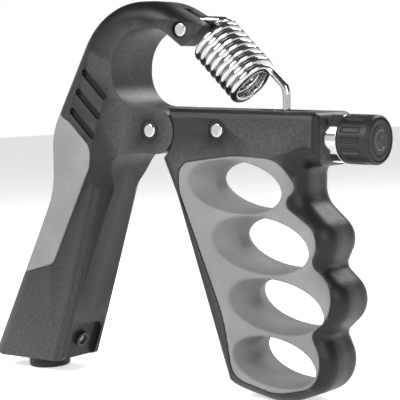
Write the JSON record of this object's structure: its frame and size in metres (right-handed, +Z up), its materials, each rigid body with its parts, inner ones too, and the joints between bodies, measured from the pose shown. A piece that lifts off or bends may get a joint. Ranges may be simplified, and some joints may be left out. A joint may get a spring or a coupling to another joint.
{
  "type": "hand grip strengthener",
  "caption": "Hinged hand exerciser with a palm handle, a finger-hole handle, a tension spring across the top and a knob that sets the resistance.",
  "frame": {"origin": "centre of the bounding box's underside, on the surface the grip stands on", "axes": "+X from the palm handle to the adjuster knob, +Y through the handles' thickness to the rear shell, +Z up"},
  "size_m": [0.2048, 0.027, 0.1616],
  "materials": {
    "shell_plastic": "fine matt moulded texture",
    "soft_grip": "satin soft-touch moulding",
    "plug_plastic": "matt moulded",
    "knob_plastic": "fine matt moulded texture",
    "bearing_plastic": "natural moulded",
    "spring_chrome": "bright plated wire",
    "rivet_chrome": "plated, domed heads",
    "collar_chrome": "bright plated",
    "screw_steel": "zinc plated",
    "washer_steel": "plain stamped",
    "bushing_brass": "turned",
    "nut_brass": "machined"
  },
  "bodies": {
    "palm": {"palm_shell_front": "shell_plastic", "palm_shell_rear": "shell_plastic", "palm_pad": "soft_grip", "palm_screws": "screw_steel", "end_plug": "plug_plastic", "plug_screw": "screw_steel", "pivot_pin": "rivet_chrome", "pivot_washers": "washer_steel", "hook_pin": "rivet_chrome", "tension_spring": "spring_chrome"},
    "finger": {"finger_frame_front": "shell_plastic", "finger_frame_rear": "shell_plastic", "finger_insert": "soft_grip", "frame_screw": "screw_steel", "pivot_bushing": "bushing_brass", "bar_rivet": "rivet_chrome", "inner_bearing": "bearing_plastic", "chrome_collar": "collar_chrome"},
    "adjuster": {"knob": "knob_plastic", "knob_cap": "knob_plastic", "leadscrew": "screw_steel", "retaining_clip": "washer_steel", "thrust_washer": "washer_steel"},
    "nut": {"slider_nut": "nut_brass", "nut_pin": "screw_steel"}
  },
  "joints": [
    {"name": "squeeze", "type": "hinge", "parent": "palm", "child": "finger", "pos_m": [-0.00062, 0, 0.10775], "axis": [0, 1, 0], "range_deg": [0, 19], "stiffness_Nm_per_rad": 30, "springref_deg": -2.86, "deforming": ["tension_spring"]},
    {"name": "knob_turn", "type": "hinge", "parent": "finger", "child": "adjuster", "pos_m": [0.09423, 0, 0.10231], "axis": [0.9988, 0, -0.0489], "range_deg": [-2641, 1681]},
    {"name": "nut_slide", "type": "slide", "parent": "finger", "child": "nut", "axis": [0.9988, 0, -0.0489], "range_m": [-0.007, 0.011]}
  ],
  "couplings": [
    {"joint": "knob_turn", "follows": "nut_slide", "rad_per_m": -4188.8}
  ]
}
